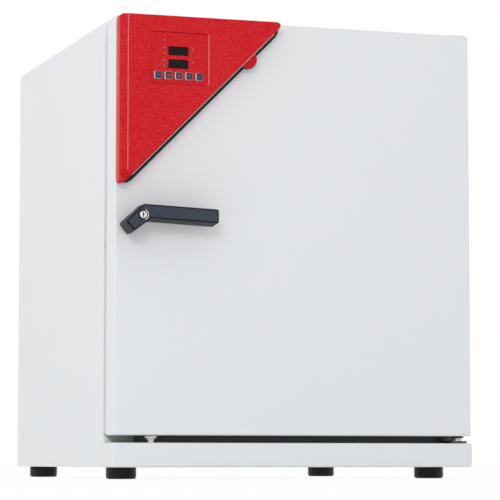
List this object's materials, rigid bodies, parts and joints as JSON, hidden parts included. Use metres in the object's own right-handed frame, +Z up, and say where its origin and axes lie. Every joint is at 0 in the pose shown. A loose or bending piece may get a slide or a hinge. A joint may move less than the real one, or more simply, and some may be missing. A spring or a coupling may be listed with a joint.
{
  "type": "carbon dioxide incubator",
  "caption": "Bench incubator cabinet with insulated outer door, inner glass door, perforated shelves, lever latch and a triangular control cover.",
  "frame": {"origin": "centre of the bounding box at the underside of the feet", "axes": "+Z up, -Y towards the person at the door, +X to the hinge side of the door"},
  "size_m": [0.68, 0.7954, 0.8183],
  "materials": {
    "white_coat": "fine textured white powder coat",
    "frame_grey": "matt dark grey moulded frame",
    "stainless": "fine brushed stainless steel",
    "jacket": "mill sheet",
    "wool": "pressed mineral wool",
    "rubber": "matt black rubber",
    "black_plastic": "matt black plastic",
    "red_plastic": "fine grained red moulding",
    "display": "glossy dark window, unlit",
    "lamp": "grey-green lens, unlit",
    "key": "dark blue-grey key",
    "anthracite": "grained anthracite moulding",
    "chrome": "bright chrome",
    "brass": "turned brass",
    "white_plastic": "white nylon",
    "board": "green board",
    "heater": "silicone heating mat",
    "glass": "clear toughened glass"
  },
  "bodies": {
    "cabinet": {"outer_housing": "white_coat", "base_pan": "stainless", "rear_cover": "white_coat", "front_frame": "frame_grey", "cabinet_insulation": "wool", "air_jacket": "jacket", "inner_chamber": "stainless", "jacket_heater": "heater", "chamber_gasket": "rubber", "lower_front_panel": "white_coat", "foot_front_left": "rubber", "foot_front_right": "rubber", "foot_rear_left": "rubber", "foot_rear_right": "rubber", "door_rest": "white_plastic", "upper_hinge_bracket": "stainless", "lower_hinge_bracket": "stainless", "latch_keeper": "stainless", "gas_sensor_head": "black_plastic", "temperature_sensor": "stainless", "gas_inlet": "brass", "power_inlet": "black_plastic", "power_supply": "stainless", "upper_glass_hinge_post": "chrome", "lower_glass_hinge_post": "chrome", "glass_strike": "chrome"},
    "door": {"door_skin": "white_coat", "door_insulation": "wool", "door_inner_panel": "stainless", "door_gasket": "rubber", "lower_hinge_bush": "black_plastic", "upper_hinge_bush": "black_plastic", "control_base": "black_plastic", "control_cover": "red_plastic", "control_bezel": "red_plastic", "upper_display": "display", "lower_display": "display", "left_lamps": "lamp", "right_lamps": "lamp", "control_board": "board", "handle_rose": "black_plastic"},
    "lever": {"door_lever": "anthracite", "latch_shaft": "stainless", "latch_hook": "stainless"},
    "lock": {"lock_cylinder": "chrome"},
    "first_key": {"key_1": "key"},
    "second_key": {"key_2": "key"},
    "third_key": {"key_3": "key"},
    "fourth_key": {"key_4": "key"},
    "fifth_key": {"key_5": "key"},
    "switch_disc": {"main_switch": "red_plastic"},
    "glass_door": {"glass_pane": "glass", "upper_glass_hinge": "chrome", "lower_glass_hinge": "chrome"},
    "catch": {"glass_catch": "black_plastic"},
    "shelf_low": {"lower_shelf": "stainless"},
    "shelf_mid": {"middle_shelf": "stainless"},
    "shelf_high": {"upper_shelf": "stainless"},
    "pan": {"water_pan": "stainless"}
  },
  "joints": [
    {"name": "door_hinge", "type": "hinge", "parent": "cabinet", "child": "door", "pos_m": [0.322, -0.31525, 0.446], "axis": [0, 0, 1], "range_deg": [0, 110]},
    {"name": "lever_turn", "type": "hinge", "parent": "door", "child": "lever", "pos_m": [-0.312, -0.34225, 0.445], "axis": [0, 1, 0], "range_deg": [0, 75]},
    {"name": "lock_turn", "type": "hinge", "parent": "lever", "child": "lock", "pos_m": [-0.3014, -0.39625, 0.4574], "axis": [0, 1, 0], "range_deg": [0, 90]},
    {"name": "key_1_press", "type": "slide", "parent": "door", "child": "first_key", "axis": [0, 1, 0], "range_m": [0, 0.0012], "stiffness_N_per_m": 400},
    {"name": "key_2_press", "type": "slide", "parent": "door", "child": "second_key", "axis": [0, 1, 0], "range_m": [0, 0.0012], "stiffness_N_per_m": 400},
    {"name": "key_3_press", "type": "slide", "parent": "door", "child": "third_key", "axis": [0, 1, 0], "range_m": [0, 0.0012], "stiffness_N_per_m": 400},
    {"name": "key_4_press", "type": "slide", "parent": "door", "child": "fourth_key", "axis": [0, 1, 0], "range_m": [0, 0.0012], "stiffness_N_per_m": 400},
    {"name": "key_5_press", "type": "slide", "parent": "door", "child": "fifth_key", "axis": [0, 1, 0], "range_m": [0, 0.0012], "stiffness_N_per_m": 400},
    {"name": "main_switch_turn", "type": "hinge", "parent": "door", "child": "switch_disc", "pos_m": [-0.098, -0.36325, 0.746], "axis": [0, 1, 0], "range_deg": [0, 90]},
    {"name": "glass_hinge", "type": "hinge", "parent": "cabinet", "child": "glass_door", "pos_m": [0.267, -0.27725, 0.446], "axis": [0, 0, 1], "range_deg": [0, 99]},
    {"name": "glass_catch_turn", "type": "hinge", "parent": "glass_door", "child": "catch", "pos_m": [-0.254, -0.26925, 0.446], "axis": [0, 1, 0], "range_deg": [0, 90]},
    {"name": "lower_shelf_slide", "type": "slide", "parent": "cabinet", "child": "shelf_low", "axis": [0, -1, 0], "range_m": [0, 0.03]},
    {"name": "middle_shelf_slide", "type": "slide", "parent": "cabinet", "child": "shelf_mid", "axis": [0, -1, 0], "range_m": [0, 0.03]},
    {"name": "upper_shelf_slide", "type": "slide", "parent": "cabinet", "child": "shelf_high", "axis": [0, -1, 0], "range_m": [0, 0.03]},
    {"name": "water_pan_slide", "type": "slide", "parent": "cabinet", "child": "pan", "axis": [0, -1, 0], "range_m": [0, 0.04]}
  ],
  "couplings": [
    {"joint": "glass_hinge", "follows": "door_hinge", "ratio": 0.9}
  ]
}
